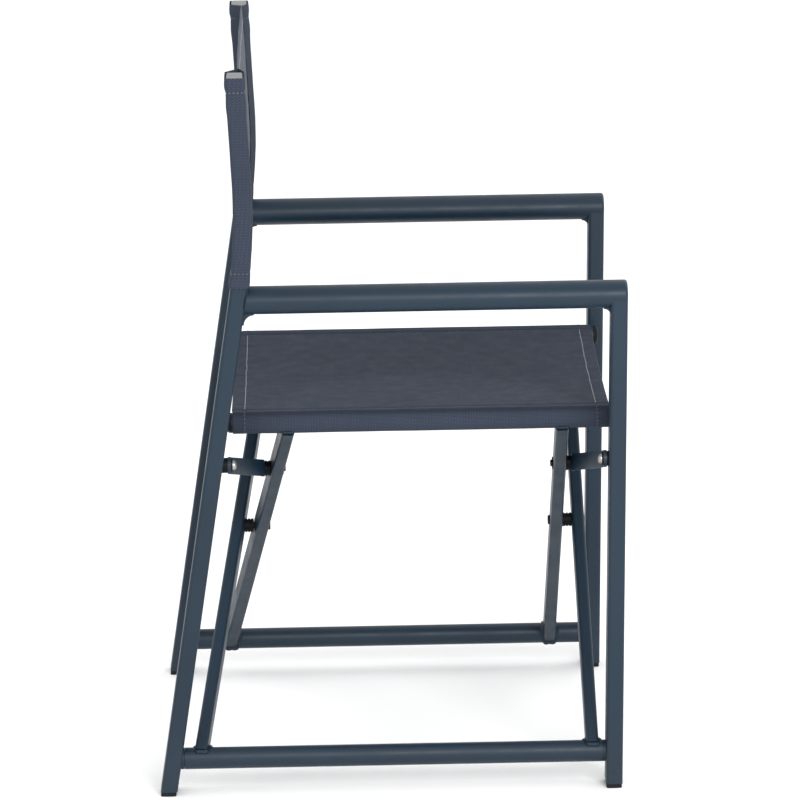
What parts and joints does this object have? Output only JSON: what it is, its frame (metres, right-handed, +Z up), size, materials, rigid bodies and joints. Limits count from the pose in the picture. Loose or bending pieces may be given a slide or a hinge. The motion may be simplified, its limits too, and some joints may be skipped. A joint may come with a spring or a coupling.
{
  "type": "folding director chair",
  "caption": "Folding director chair: slate-blue tube frame, crossed legs front and rear that fold sideways, fabric seat and back slings.",
  "frame": {"origin": "on the floor, in the middle of the four feet", "axes": "+Z up; the sitter faces -Y; +X is the sitter's left"},
  "size_m": [0.571, 0.5633, 0.8705],
  "materials": {
    "frame_paint": "slate-blue satin powder coat on aluminium tube",
    "sling_fabric": "woven",
    "black_plastic": "matte",
    "grey_plastic": "satin",
    "chrome": "polished",
    "black_steel": "black oxide on steel"
  },
  "bodies": {
    "right_frame": {"right_back_post": "frame_paint", "right_front_post": "frame_paint", "right_armrest": "frame_paint", "right_front_foot": "black_plastic", "right_back_foot": "black_plastic", "right_post_cap": "grey_plastic", "right_rail_pins": "frame_paint", "right_link_washers": "black_plastic", "right_link_bolts": "chrome", "back_sling": "sling_fabric"},
    "cross_a": {"right_bottom_rail": "frame_paint", "right_rail_bushes": "black_plastic", "rear_bar_a": "frame_paint", "front_bar_a": "frame_paint", "left_seat_rail": "frame_paint", "left_seat_rail_plugs": "black_plastic", "left_link_spacers": "black_plastic", "left_link_studs": "black_steel", "left_nut_washers": "black_plastic", "left_link_nuts": "black_steel", "pivot_spacers": "black_plastic", "pivot_bolts": "black_steel", "pivot_nuts": "black_steel", "seat_sling": "sling_fabric"},
    "cross_b": {"left_bottom_rail": "frame_paint", "left_rail_bushes": "black_plastic", "rear_bar_b": "frame_paint", "front_bar_b": "frame_paint", "right_seat_rail": "frame_paint", "right_seat_rail_plugs": "black_plastic", "right_link_spacers": "black_plastic", "right_link_studs": "black_steel", "right_nut_washers": "black_plastic", "right_link_nuts": "black_steel"},
    "left_frame": {"left_back_post": "frame_paint", "left_front_post": "frame_paint", "left_armrest": "frame_paint", "left_front_foot": "black_plastic", "left_back_foot": "black_plastic", "left_post_cap": "grey_plastic", "left_rail_pins": "frame_paint", "left_link_washers": "black_plastic", "left_link_bolts": "chrome"},
    "right_rear_link": {"right_rear_link": "frame_paint", "right_rear_link_screw": "chrome"},
    "right_front_link": {"right_front_link": "frame_paint", "right_front_link_screw": "chrome"},
    "left_rear_link": {"left_rear_link": "frame_paint", "left_rear_link_screw": "chrome"},
    "left_front_link": {"left_front_link": "frame_paint", "left_front_link_screw": "chrome"}
  },
  "joints": [
    {"name": "fold", "type": "hinge", "parent": "right_frame", "child": "cross_a", "pos_m": [-0.265, 0, 0.042], "axis": [0, -1, 0], "range_deg": [0, 39.08], "deforming": ["back_sling"]},
    {"name": "cross_pivot", "type": "hinge", "parent": "cross_a", "child": "cross_b", "pos_m": [0, 0, 0.26061], "axis": [0, 1, 0], "range_deg": [0, 82.96], "deforming": ["seat_sling"]},
    {"name": "left_rail_pivot", "type": "hinge", "parent": "cross_b", "child": "left_frame", "pos_m": [0.265, 0, 0.042], "axis": [0, -1, 0], "range_deg": [0, 39.08]},
    {"name": "right_rear_link_pivot", "type": "hinge", "parent": "right_frame", "child": "right_rear_link", "pos_m": [-0.265, 0.19, 0.4026], "axis": [0, -1, 0], "range_deg": [0, 85.75]},
    {"name": "right_front_link_pivot", "type": "hinge", "parent": "right_frame", "child": "right_front_link", "pos_m": [-0.265, -0.255, 0.4026], "axis": [0, -1, 0], "range_deg": [0, 85.75]},
    {"name": "left_rear_link_pivot", "type": "hinge", "parent": "left_frame", "child": "left_rear_link", "pos_m": [0.265, 0.19, 0.4026], "axis": [0, 1, 0], "range_deg": [0, 85.75]},
    {"name": "left_front_link_pivot", "type": "hinge", "parent": "left_frame", "child": "left_front_link", "pos_m": [0.265, -0.255, 0.4026], "axis": [0, 1, 0], "range_deg": [0, 85.75]}
  ],
  "couplings": [
    {"joint": "cross_pivot", "follows": "fold", "ratio": 2.1228},
    {"joint": "left_rail_pivot", "follows": "fold", "ratio": 1},
    {"joint": "right_rear_link_pivot", "follows": "fold", "ratio": 2.1942},
    {"joint": "right_front_link_pivot", "follows": "fold", "ratio": 2.1942},
    {"joint": "left_rear_link_pivot", "follows": "fold", "ratio": 2.1942},
    {"joint": "left_front_link_pivot", "follows": "fold", "ratio": 2.1942}
  ]
}
